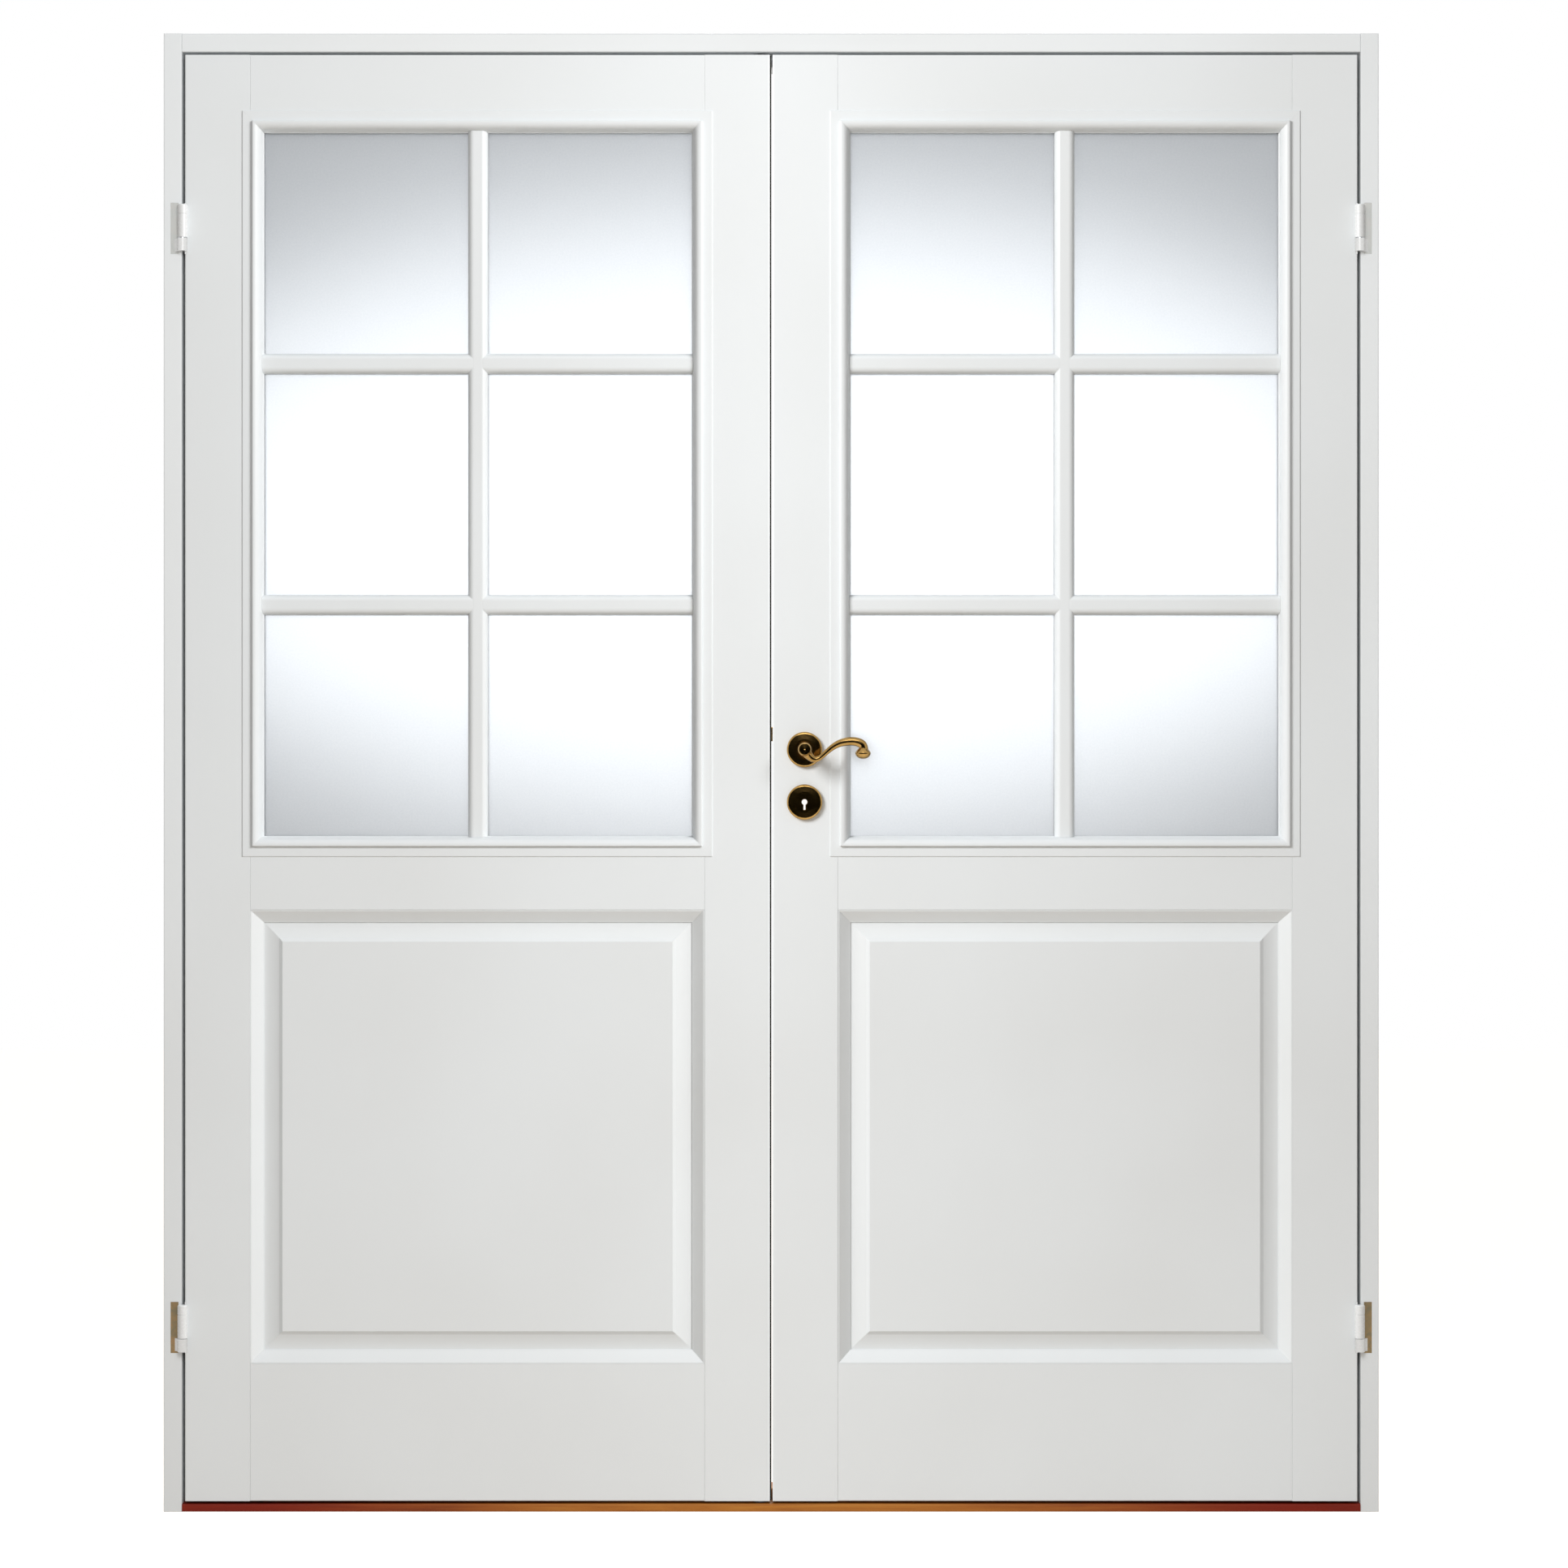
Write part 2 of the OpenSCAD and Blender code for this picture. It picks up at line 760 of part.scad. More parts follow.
module mitred_strips(w, h, lap, reach, section) {
    for (flip = [0, 1])
        translate([0, 0, flip * h])
            mirror([0, 0, flip])
                intersection() {
                    strip_low(w, lap, section);
                    mitre_low(w, lap, reach + 1);
                }
    for (flip = [0, 1])
        translate([flip * w, 0, 0])
            mirror([flip, 0, 0])
                intersection() {
                    strip_side(h, lap, section);
                    mitre_side(h, lap, reach + 1);
                }
}

// The same pieces on the front (0) or the back (1) of a leaf
module on_face(back) translate([0, back * leaf_t, 0]) mirror([0, back, 0]) children();

module panel_mouldings(side)
    color(white)
        on_leaf(side)
            for (back = [0, 1])
                on_face(back)
                    translate([stile_w, 0, panel_z])
                        mitred_strips(opening_w, panel_h, 0, panel_moulding_w, panel_moulding_section());

module beads() translate([stile_w, 0, glass_z])
    mitred_strips(opening_w, glass_opening_h, bead_lap, bead_w, bead_section());

module bead_front(side) color(white) on_leaf(side) on_face(0) beads();
module bead_back(side) color(white) on_leaf(side) on_face(1) beads();

module glass(side)
    color(glass_tint)
        on_leaf(side)
            block(
                [stile_w + glass_play, glass_face, glass_z + glass_play],
                [leaf_w - stile_w - glass_play, leaf_t - glass_face, glass_z + glass_opening_h - glass_play]
            );

// Glazing bars: upright bars run through, and the cross bars are scribed to them and to the beads
function column_x(c) = let(sight = opening_w - 2 * bead_w, pane = (sight - (pane_columns - 1) * bar_w) / pane_columns)
    bead_w + c * (pane + bar_w) - bar_w / 2;
function row_z(r) = let(sight = glass_opening_h - 2 * bead_w, pane = (sight - (pane_rows - 1) * bar_w) / pane_rows)
    bead_w + r * (pane + bar_w) - bar_w / 2;

module upright_bar(c, play = 0)
    translate([column_x(c), 0, 0])
        linear_extrude(glass_opening_h)
            polygon(bar_section(play));

module cross_bar(from, to, r)
    translate([from, 0, row_z(r)])
        along_x(to - from)
            polygon(bar_section(0));

module face_bars() {
    for (c = [1:1:pane_columns - 1])
        difference() {
            upright_bar(c);
            for (flip = [0, 1])
                translate([0, 0, flip * glass_opening_h])
                    mirror([0, 0, flip])
                        strip_low(opening_w, 0, bead_section());
        }
    for (r = [1:1:pane_rows - 1])
        for (c = [1:1:pane_columns])
            difference() {
                cross_bar(c == 1 ? 0 : column_x(c - 1), c == pane_columns ? opening_w : column_x(c), r);
                if (c > 1) upright_bar(c - 1, mitre_gap);
                if (c < pane_columns) upright_bar(c, mitre_gap);
                if (c == 1) strip_side(glass_opening_h, 0, bead_section());
                if (c == pane_columns)
                    translate([opening_w, 0, 0])
                        mirror([1, 0, 0])
                            strip_side(glass_opening_h, 0, bead_section());
            }
}

module bars(side)
    color(white)
        on_leaf(side)
            for (back = [0, 1])
                on_face(back)
                    translate([stile_w, 0, glass_z])
                        face_bars();

// STRIKE, FLUSH BOLTS AND SEAL, on the left leaf's meeting edge

// Plate with round ends, let into a meeting edge
module edge_plate(w, low, high)
    translate([0, mid_y, 0]) {
        block([0, -w / 2, low + w / 2], [edge_plate_t, w / 2, high - w / 2]);
        for (z = [low + w / 2, high - w / 2])
            translate([0, 0, z]) rotate([0, 90, 0]) cylinder(d = w, h = edge_plate_t);
    }

module edge_screw(z, l = edge_screw_l) translate([0, mid_y, z]) rotate([0, 90, 0]) screw(hinge_screw_d, l);

function strike_low() = key_z - dead_h / 2 - strike_margin;
function strike_high() = spindle_z + latch_rise + latch_h / 2 + strike_margin;

module strike_plate_shape() edge_plate(strike_w, strike_low(), strike_high());

module strike_screws() {
    edge_screw(strike_low() + 10);
    edge_screw(strike_high() - 10);
}

// Pockets for latch and dead bolt, from the edge inwards
module strike_pockets(from) {
    block(
        [from - eps, mid_y - latch_t / 2 - keep_play, spindle_z + latch_rise - latch_h / 2 - keep_play],
        [latch_throw - meeting_gap + 3, mid_y + latch_t / 2 + keep_play,
            spindle_z + latch_rise + latch_h / 2 + keep_play]
    );
    block(
        [from - eps, mid_y - dead_t / 2 - keep_play, key_z - dead_h / 2 - keep_play],
        [dead_throw - meeting_gap + 3, mid_y + dead_t / 2 + keep_play, key_z + dead_h / 2 + keep_play]
    );
}

module strike_plate()
    color(steel)
        on_meeting_edge(-1)
            difference() {
                strike_plate_shape();
                strike_pockets(0);
                strike_screws();
            }

// Both flush bolts, each measured from its own end of the leaf
module at_flush_bolts()
    for (top = [0, 1])
        at_flush_bolt(top) children();

module at_flush_bolt(top) translate([0, 0, top * leaf_h]) mirror([0, 0, top]) children();

module flush_plate_shape()
    block([0, mid_y - flush_plate_w / 2, 0], [edge_plate_t, mid_y + flush_plate_w / 2, flush_plate_l]);

module flush_plate_screws() {
    edge_screw(12, flush_in - flush_d / 2 - 1.5);
    edge_screw(flush_plate_l - 10);
}

module flush_guide()
    translate([flush_in, mid_y, -eps])
        cylinder(d = flush_d + 2 * run_play, h = flush_guide_l + 2 * eps);

module flush_bolt_mortise() {
    flush_plate_shape();
    block(
        [0, mid_y - flush_d / 2 - mortise_play, flush_guide_l],
        [flush_in + flush_d / 2 + mortise_play, mid_y + flush_d / 2 + mortise_play, flush_l + mortise_end]
    );
    flush_guide();
}

module flush_bolt_plates()
    color(steel)
        on_meeting_edge(-1)
            at_flush_bolts()
                difference() {
                    flush_plate_shape();
                    flush_plate_screws();
                    block(
                        [-eps, mid_y - thumb_t / 2 - bolt_play, thumb_z - thumb_h / 2 - flush_throw - thumb_play],
                        [edge_plate_t + eps, mid_y + thumb_t / 2 + bolt_play, thumb_z + thumb_h / 2 + thumb_play]
                    );
                }

module flush_bolt(top)
    color(steel)
        on_meeting_edge(-1)
            at_flush_bolt(top) {
                translate([flush_in, mid_y, 1]) cylinder(d = flush_d, h = flush_l - 1);
                block(
                    [-1, mid_y - thumb_t / 2, thumb_z - thumb_h / 2],
                    [flush_in, mid_y + thumb_t / 2, thumb_z + thumb_h / 2]
                );
            }

module flush_bolt_top() flush_bolt(1);
module flush_bolt_bottom() flush_bolt(0);

module left_edge_screws()
    color(steel)
        on_meeting_edge(-1) {
            strike_screws();
            at_flush_bolts() flush_plate_screws();
        }

module seal_kerf()
    block([-eps, seal_in, -eps], [2 * seal_t, seal_in + seal_t, leaf_h + eps]);

module meeting_seal()
    color(seal_grey)
        on_meeting_edge(-1)
            translate([0, 0, 0.5])
                linear_extrude(leaf_h - 1) {
                    translate([0, seal_in + 0.1]) square([2 * seal_t - 0.3, seal_t - 0.2]);
                    translate([-meeting_gap + seal_clear, seal_in + seal_t / 2 - 0.6])
                        square([meeting_gap - seal_clear + 1, 1.2]);
                }

// LOCK, on the right leaf's meeting edge

function face_plate_low() = spindle_z - case_bottom - face_plate_margin;
function face_plate_high() = spindle_z + case_top + face_plate_margin;

module face_plate_shape() edge_plate(face_plate_w, face_plate_low(), face_plate_high());

module face_plate_screws() {
    edge_screw(face_plate_low() + 12);
    edge_screw(face_plate_high() - 12);
}

module case_mortise()
    block(
        [-eps, mid_y - case_t / 2 - 0.4, spindle_z - case_bottom - 0.4],
        [case_depth + 0.8, mid_y + case_t / 2 + 0.4, spindle_z + case_top + 0.4]
    );

// Keyhole: a round hole with a slot below it
module key_slot(from, to)
    translate([backset, from, key_z]) {
        rotate([-90, 0, 0]) cylinder(d = key_d, h = to - from);
        block([-key_bit_w / 2, 0, -key_bit_h], [key_bit_w / 2, to - from, 0]);
    }

module rose_bolt_rods(d, depth)
    for (z = [spindle_z, key_z])
        for (s = [-1, 1])
            translate([backset, -depth, z + s * rose_bolt_offset])
                rotate([-90, 0, 0])
                    cylinder(d = d, h = leaf_t + 2 * depth);

// Room for the two bolts, in the case and through the face plate
module bolt_ways() {
    block(
        [-eps, mid_y - latch_t / 2 - bolt_play, spindle_z + latch_rise - latch_h / 2 - bolt_play],
        [latch_tail + latch_throw + 2, mid_y + latch_t / 2 + bolt_play,
            spindle_z + latch_rise + latch_h / 2 + bolt_play]
    );
    block(
        [-eps, mid_y - dead_t / 2 - bolt_play, key_z - dead_h / 2 - bolt_play],
        [dead_tail + 2, mid_y + dead_t / 2 + bolt_play, key_z + dead_h / 2 + bolt_play]
    );
}

module lock_case()
    color(steel)
        on_meeting_edge(1)
            difference() {
                block(
                    [edge_plate_t, mid_y - case_t / 2, spindle_z - case_bottom],
                    [case_depth, mid_y + case_t / 2, spindle_z + case_top]
                );
                bolt_ways();
                translate([backset, 0, spindle_z])
                    rotate([-90, 0, 0])
                        cylinder(d = neck_d + 2 * run_play, h = leaf_t);
                key_slot(0, leaf_t);
                rose_bolt_rods(rose_bolt_d + 0.4, 0);
            }

module lock_face_plate()
    color(brass)
        on_meeting_edge(1)
            difference() {
                face_plate_shape();
                face_plate_screws();
                bolt_ways();
            }

module right_edge_screws() color(brass) on_meeting_edge(1) face_plate_screws();

// Latch with its sloped side towards the back, where it meets the strike first on closing
module latch_bolt()
    color(brass)
        on_meeting_edge(1)
            translate([0, mid_y, spindle_z + latch_rise - latch_h / 2])
                linear_extrude(latch_h)
                    polygon([
                        [latch_tail, -latch_t / 2], [-latch_throw, -latch_t / 2],
                        [-latch_throw, -latch_t / 2 + 1.5], [-0.5, latch_t / 2], [latch_tail, latch_t / 2]
                    ]);

module dead_bolt()
    color(brass)
        on_meeting_edge(1)
            block(
                [0.3, mid_y - dead_t / 2, key_z - dead_h / 2],
                [dead_tail, mid_y + dead_t / 2, key_z + dead_h / 2]
            );

module spindle_bar(play)
    translate([backset, -hub_in - play, spindle_z])
        block(
            [-spindle_s / 2 - play, 0, -spindle_s / 2 - play],
            [spindle_s / 2 + play, leaf_t + 2 * hub_in + 2 * play, spindle_s / 2 + play]
        );

module spindle() color(steel) on_meeting_edge(1) spindle_bar(0);

module lock_follower()
    color(steel)
        on_meeting_edge(1)
            difference() {
                translate([backset, mid_y - case_t / 2 + 0.5, spindle_z])
                    rotate([-90, 0, 0])
                        cylinder(d = neck_d, h = case_t - 1);
                spindle_bar(run_play);
            }

// Turned round plate, standing on the leaf's front face
module round_plate(z, bore)
    translate([backset, 0, z])
        rotate([90, 0, 0])
            rotate_extrude()
                polygon(concat(
                    [[bore / 2, rose_t], [bore / 2, 0], [rose_d / 2, 0]],
                    [for (i = [0:8]) [
                        rose_d / 2 - rose_rim * (1 - cos(90 * i / 8)),
                        rose_t * 0.9 - rose_rim * (1 - sin(90 * i / 8))
                    ]],
                    [[rose_d / 2 - 3 * rose_rim, rose_t]]
                ));

module rose(back)
    color(brass)
        on_meeting_edge(1)
            on_face(back)
                difference() {
                    round_plate(spindle_z, neck_d + 2 * run_play);
                    rose_bolt_rods(rose_bolt_d + 0.1, rose_bolt_depth + 0.2);
                }

module escutcheon(back)
    color(brass)
        on_meeting_edge(1)
            on_face(back)
                difference() {
                    round_plate(key_z, 0);
                    key_slot(-rose_t - eps, eps);
                    rose_bolt_rods(rose_bolt_d + 0.1, rose_bolt_depth + 0.2);
                }

module rose_bolts() color(steel) on_meeting_edge(1) rose_bolt_rods(rose_bolt_d, rose_bolt_depth);

// Cast lever: turned neck, swan-necked grip of changing thickness and a turned foot
function lever_rings() = [
    for (i = [1:len(lever_line) - 3])
        for (s = [0:lever_steps - (i == len(lever_line) - 3 ? 0 : 1)])
            line_point(lever_line, i, s / lever_steps)
];

function ring_points(rings, k) = let(
        a = rings[max(k - 1, 0)],
        b = rings[min(k + 1, len(rings) - 1)],
        turn = atan2(b[1] - a[1], b[0] - a[0]),
        c = rings[k]
    ) [
        for (j = [0:lever_sides - 1]) let(q = 360 * j / lever_sides) [
            c[0] - c[2] * cos(q) * sin(turn),
            c[2] * sin(q),
            c[1] + c[2] * cos(q) * cos(turn)
        ]
    ];

module lever_grip() {
    rings = lever_rings();
    last = len(rings) - 1;
    points = [for (k = [0:last]) each ring_points(rings, k)];
    faces = concat(
        [[for (j = [lever_sides - 1:-1:0]) j]],
        [[for (j = [0:lever_sides - 1]) last * lever_sides + j]],
        [for (k = [0:last - 1]) for (j = [0:lever_sides - 1]) let(
                a = k * lever_sides + j,
                b = k * lever_sides + (j + 1) % lever_sides
            ) each [[a, b + lever_sides, a + lever_sides], [a, b, b + lever_sides]]]
    );
    polyhedron(points = points, faces = faces);
}

module lever_neck()
    rotate([90, 0, 0])
        rotate_extrude()
            polygon([
                [0, 0.5], [neck_d / 2, 0.5], [neck_d / 2, rose_t + 3], [neck_d / 2 - 1.5, rose_t + 7],
                [neck_d / 2 - 1.5, lever_out - 12], [neck_d / 2 + 0.5, lever_out - 6],
                [neck_d / 2 + 0.5, lever_out + 6], [neck_d / 2 - 1, lever_out + 9], [0, lever_out + 10]
            ]);

module lever_foot()
    translate([lever_line[len(lever_line) - 1][0], -lever_out, lever_line[len(lever_line) - 2][1] - 1])
        rotate_extrude()
            polygon(concat(
                [for (i = [0:8]) [foot_d / 2 * sin(90 * i / 8), -foot_drop * cos(90 * i / 8)]],
                [[foot_d / 2 - 1, 2], [foot_d / 2 - 3, 4.5], [lever_line[len(lever_line) - 1][2] - 0.6, 6.5], [0, 6.5]]
            ));

module lever(back)
    color(brass)
        on_meeting_edge(1)
            on_face(back)
                translate([backset, 0, spindle_z]) {
                    difference() {
                        lever_neck();
                        translate([-backset, 0, -spindle_z]) spindle_bar(run_play);
                    }
                    translate([0, -lever_out, 0]) lever_grip();
                    lever_foot();
                }

// Nodes of the two leaves
module left_hinge_stile() hinge_stile(-1);
module left_top_rail() top_rail(-1);
module left_lock_rail() lock_rail(-1);
module left_bottom_rail() bottom_rail(-1);
module left_dowels() leaf_dowels(-1);
module left_panel() panel(-1);
module left_panel_mouldings() panel_mouldings(-1);
module left_glass() glass(-1);
module left_bead_front() bead_front(-1);
module left_bead_back() bead_back(-1);
module left_bars() bars(-1);
module left_hinge_sleeves() hinge_sleeves(-1);
module left_hinge_screws() hinge_screws(-1);
module right_hinge_stile() hinge_stile(1);
module right_top_rail() top_rail(1);
module right_lock_rail() lock_rail(1);
module right_bottom_rail() bottom_rail(1);
module right_dowels() leaf_dowels(1);
module right_panel() panel(1);
module right_panel_mouldings() panel_mouldings(1);
module right_glass() glass(1);
module right_bead_front() bead_front(1);
module right_bead_back() bead_back(1);
module right_bars() bars(1);
module right_hinge_sleeves() hinge_sleeves(1);
module right_hinge_screws() hinge_screws(1);
module rose_front() rose(0);
module rose_back() rose(1);
module escutcheon_front() escutcheon(0);
module escutcheon_back() escutcheon(1);
module lever_front() lever(0);
module lever_back() lever(1);

jamb_left();
jamb_right();
frame_head();
threshold();
frame_screws();
hinge_plates();
hinge_knuckles();
hinge_pins();
hinge_washers();
hinge_plate_screws();
bolt_keeps();
left_hinge_stile();
left_meeting_stile();
left_top_rail();
left_lock_rail();
left_bottom_rail();
left_dowels();
left_panel();
left_panel_mouldings();
left_glass();
left_bead_front();
left_bead_back();
left_bars();
left_hinge_sleeves();
left_hinge_screws();
strike_plate();
flush_bolt_plates();
left_edge_screws();
meeting_seal();
flush_bolt_top();
flush_bolt_bottom();
right_hinge_stile();
right_meeting_stile();
right_top_rail();
right_lock_rail();
right_bottom_rail();
right_dowels();
right_panel();
right_panel_mouldings();
right_glass();
right_bead_front();
right_bead_back();
right_bars();
right_hinge_sleeves();
right_hinge_screws();
lock_case();
lock_face_plate();
right_edge_screws();
rose_front();
rose_back();
escutcheon_front();
escutcheon_back();
rose_bolts();
lever_front();
lever_back();
spindle();
lock_follower();
latch_bolt();
dead_bolt();
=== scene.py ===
import math

import bpy
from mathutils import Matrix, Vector

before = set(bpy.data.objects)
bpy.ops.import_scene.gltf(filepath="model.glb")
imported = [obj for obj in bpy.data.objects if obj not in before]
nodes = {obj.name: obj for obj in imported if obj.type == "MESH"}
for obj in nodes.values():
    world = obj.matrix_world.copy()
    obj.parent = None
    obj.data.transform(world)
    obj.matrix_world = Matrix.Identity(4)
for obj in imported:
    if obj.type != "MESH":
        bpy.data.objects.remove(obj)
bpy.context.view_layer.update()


# Jambs and head
# Planed pine lengths with a rebate for the leaves. They are primed and brushed with satin white
# paint, butted at the top corners and screwed together through the jambs.
def linear(hex_colour):
    """sRGB hex to the linear colour that a shader socket takes."""
    parts = [int(hex_colour[i:i + 2], 16) / 255 for i in (1, 3, 5)]
    return [p / 12.92 if p <= 0.04045 else ((p + 0.055) / 1.055) ** 2.4 for p in parts] + [1.0]


def add_node(tree, kind, settings=None, links=None):
    """Adds one shader node; settings go to inputs, attributes or colour stops, links to inputs."""
    node = tree.nodes.new("ShaderNode" + kind)
    for key, value in (settings or {}).items():
        if key == "stops":
            elements = node.color_ramp.elements
            while len(elements) < len(value):
                elements.new(0.5)
            for element, (position, colour) in zip(elements, value):
                element.position, element.color = position, linear(colour)
        elif isinstance(key, int) or key in node.inputs:
            node.inputs[key].default_value = value
        else:
            setattr(node, key, value)
    for key, socket in (links or {}).items():
        tree.links.new(socket, node.inputs[key])
    return node


def start_material(name, sockets):
    """New material with constant sockets set; gives the material, its node tree and its shader."""
    material = bpy.data.materials.new(name)
    material.use_nodes = True
    shader = material.node_tree.nodes["Principled BSDF"]
    for key, value in sockets.items():
        shader.inputs[key].default_value = value
    return material, material.node_tree, shader


def dress(material, *names):
    """Gives CAD nodes a material."""
    for name in names:
        nodes[name].data.materials.clear()
        nodes[name].data.materials.append(material)


MM = 0.001


def brushed_paint(name, stroke):
    # Satin alkyd paint laid on with a brush: soft gloss, faint long ridges along the wood, a tone
    # that drifts a little, and arrises that the paint flows over and rounds. Real ridges are under
    # 1 mm apart; they are drawn coarser so they show.
    ridge_gap, stroke_length, drift_size, arris = 5 * MM, 220 * MM, 420 * MM, 1.2 * MM
    material, tree, shader = start_material(name, {"IOR": 1.48, "Specular IOR Level": 0.4})
    place = add_node(tree, "TexCoord")
    ridges = [1 / ridge_gap] * 3
    if stroke is not None:
        ridges["xyz".index(stroke)] = 1 / stroke_length
    stretch = add_node(tree, "Mapping", {"Scale": ridges}, {"Vector": place.outputs["Object"]})
    strokes = add_node(tree, "TexNoise", {"Scale": 1.0, "Detail": 3.0, "Roughness": 0.55},
                       {"Vector": stretch.outputs["Vector"]})
    drift = add_node(tree, "TexNoise", {"Scale": 1 / drift_size, "Detail": 2.0},
                     {"Vector": place.outputs["Object"]})
    tone = add_node(tree, "ValToRGB", {"stops": [(0.3, "#E3E6E7"), (0.7, "#E8ECEE")]},
                    {"Fac": drift.outputs["Fac"]})
    tree.links.new(tone.outputs["Color"], shader.inputs["Base Color"])
    gloss = add_node(tree, "MapRange", {"To Min": 0.34, "To Max": 0.46},
                     {"Value": strokes.outputs["Fac"]})
    tree.links.new(gloss.outputs["Result"], shader.inputs["Roughness"])
    flow = add_node(tree, "Bevel", {"samples": 4, "Radius": arris})
    relief = add_node(tree, "Bump", {"Strength": 0.12, "Distance": 0.25 * MM},
                      {"Height": strokes.outputs["Fac"], "Normal": flow.outputs["Normal"]})
    tree.links.new(relief.outputs["Normal"], shader.inputs["Normal"])
    return material


upright_paint = brushed_paint("satin_paint_upright", "z")
level_paint = brushed_paint("satin_paint_level", "x")
dress(upright_paint, "jamb_left", "jamb_right")
dress(level_paint, "frame_head")


# Threshold
# One length of oak, planed with a low step under the leaves and oiled. It lies between the jambs
# and is screwed to them.
# Oiled oak: open pores and long grain along the board, with painted shade that darkens it towards
# both ends, where less light falls than on the middle.
grain_length, grain_width = 260 * MM, 9 * MM
pore_length, pore_width = 28 * MM, 1.4 * MM
end_shade_start, end_shade_full = 50 * MM, 750 * MM
oiled_oak, tree, shader = start_material("oiled_oak", {"IOR": 1.5, "Specular IOR Level": 0.25})
place = add_node(tree, "TexCoord")
board = add_node(tree, "Mapping", {"Scale": (1 / grain_length, 1 / grain_width, 1 / grain_width)},
                 {"Vector": place.outputs["Object"]})
grain = add_node(tree, "TexNoise",
                 {"Scale": 1.0, "Detail": 6.0, "Roughness": 0.62, "Distortion": 0.4},
                 {"Vector": board.outputs["Vector"]})
pore_map = add_node(tree, "Mapping", {"Scale": (1 / pore_length, 1 / pore_width, 1 / pore_width)},
                    {"Vector": place.outputs["Object"]})
pores = add_node(tree, "TexNoise", {"Scale": 1.0, "Detail": 2.0},
                 {"Vector": pore_map.outputs["Vector"]})
tone = add_node(tree, "ValToRGB",
                {"stops": [(0.25, "#94501E"), (0.5, "#BC782E"), (0.78, "#D4953F")]},
                {"Fac": grain.outputs["Fac"]})
across = add_node(tree, "SeparateXYZ", None, {"Vector": place.outputs["Object"]})
half = add_node(tree, "Math", {"operation": "ABSOLUTE"}, {0: across.outputs["X"]})
# Painted shade: the oak is multiplied towards a deep red-brown from near the middle out to both
# ends, so the middle stays lighter as if lit more.
end_shade_ramp = add_node(tree, "MapRange",
                   {"From Min": end_shade_start, "From Max": end_shade_full,
                    "To Min": 0.0, "To Max": 1.0, "interpolation_type": "SMOOTHSTEP"},
                   {"Value": half.outputs["Value"]})
painted_end_shade = add_node(tree, "Mix", {"data_type": "RGBA", "blend_type": "MULTIPLY", 7: linear("#AA4008")},
                {0: end_shade_ramp.outputs["Result"], 6: tone.outputs["Color"]})
tree.links.new(painted_end_shade.outputs[2], shader.inputs["Base Color"])
gloss = add_node(tree, "MapRange", {"To Min": 0.38, "To Max": 0.6}, {"Value": pores.outputs["Fac"]})
tree.links.new(gloss.outputs["Result"], shader.inputs["Roughness"])
relief = add_node(tree, "Bump", {"Strength": 0.25, "Distance": 0.3 * MM},
                  {"Height": pores.outputs["Fac"]})
tree.links.new(relief.outputs["Normal"], shader.inputs["Normal"])
dress(oiled_oak, "threshold")


# Screws, pins and keeps
# Steel turned or pressed and zinc plated: corner screws, hinge pins, washers and screws, and the
# flanged bushes that take the flush bolts.
# Zinc plate: bright grey, slightly milky, with fine crystals and uneven gloss. Real crystals are
# far smaller; they are drawn coarser so they show.
crystal_size, milk_size = 2.5 * MM, 14 * MM
zinc_plate, tree, shader = start_material("zinc_plated_steel", {"Metallic": 1.0})
place = add_node(tree, "TexCoord")
crystals = add_node(tree, "TexVoronoi", {"Scale": 1 / crystal_size},
                    {"Vector": place.outputs["Object"]})
milk = add_node(tree, "TexNoise", {"Scale": 1 / milk_size, "Detail": 3.0},
                {"Vector": place.outputs["Object"]})
tone = add_node(tree, "ValToRGB", {"stops": [(0.3, "#A9ADB0"), (0.7, "#C6C9CB")]},
                {"Fac": milk.outputs["Fac"]})
tree.links.new(tone.outputs["Color"], shader.inputs["Base Color"])
gloss = add_node(tree, "MapRange", {"To Min": 0.26, "To Max": 0.42},
                 {"Value": crystals.outputs["Distance"]})
tree.links.new(gloss.outputs["Result"], shader.inputs["Roughness"])
dress(zinc_plate, "frame_screws", "hinge_pins", "hinge_washers", "bolt_keeps",
      "left_hinge_screws", "right_hinge_screws")


# Hinge plates on the jambs
# Pressed steel plates with a yellow chromate coat, let into the jambs' faces and held by
# countersunk screws of the same finish.
# Yellow chromate: a thin film over zinc, brown with olive and rose patches. The plates are painted
# paler and greyer with height, a painted highlight for the stronger light on the upper ones.
film_patch = 11 * MM
painted_light_low, painted_light_high = 500 * MM, 1600 * MM
chromate, tree, shader = start_material("yellow_chromate_steel", {"Metallic": 0.7})
place = add_node(tree, "TexCoord")
film = add_node(tree, "TexNoise", {"Scale": 1 / film_patch, "Detail": 3.0, "Distortion": 0.6},
                {"Vector": place.outputs["Object"]})
tone = add_node(tree, "ValToRGB",
                {"stops": [(0.28, "#7E7660"), (0.5, "#93805E"), (0.74, "#A5845F")]},
                {"Fac": film.outputs["Fac"]})
height = add_node(tree, "SeparateXYZ", None, {"Vector": place.outputs["Object"]})
# Painted highlight: the film's brown is mixed towards pale grey from low to high on the jambs, as
# if the upper plates were lit more.
painted_light_ramp = add_node(tree, "MapRange", {"From Min": painted_light_low, "From Max": painted_light_high,
                                     "To Min": 0.0, "To Max": 0.82}, {"Value": height.outputs["Z"]})
painted_highlight = add_node(tree, "Mix", {"data_type": "RGBA", 7: linear("#C4C8C8")},
                 {0: painted_light_ramp.outputs["Result"], 6: tone.outputs["Color"]})
tree.links.new(painted_highlight.outputs[2], shader.inputs["Base Color"])
gloss = add_node(tree, "MapRange", {"To Min": 0.32, "To Max": 0.5}, {"Value": film.outputs["Fac"]})
tree.links.new(gloss.outputs["Result"], shader.inputs["Roughness"])
dress(chromate, "hinge_plates", "hinge_plate_screws")


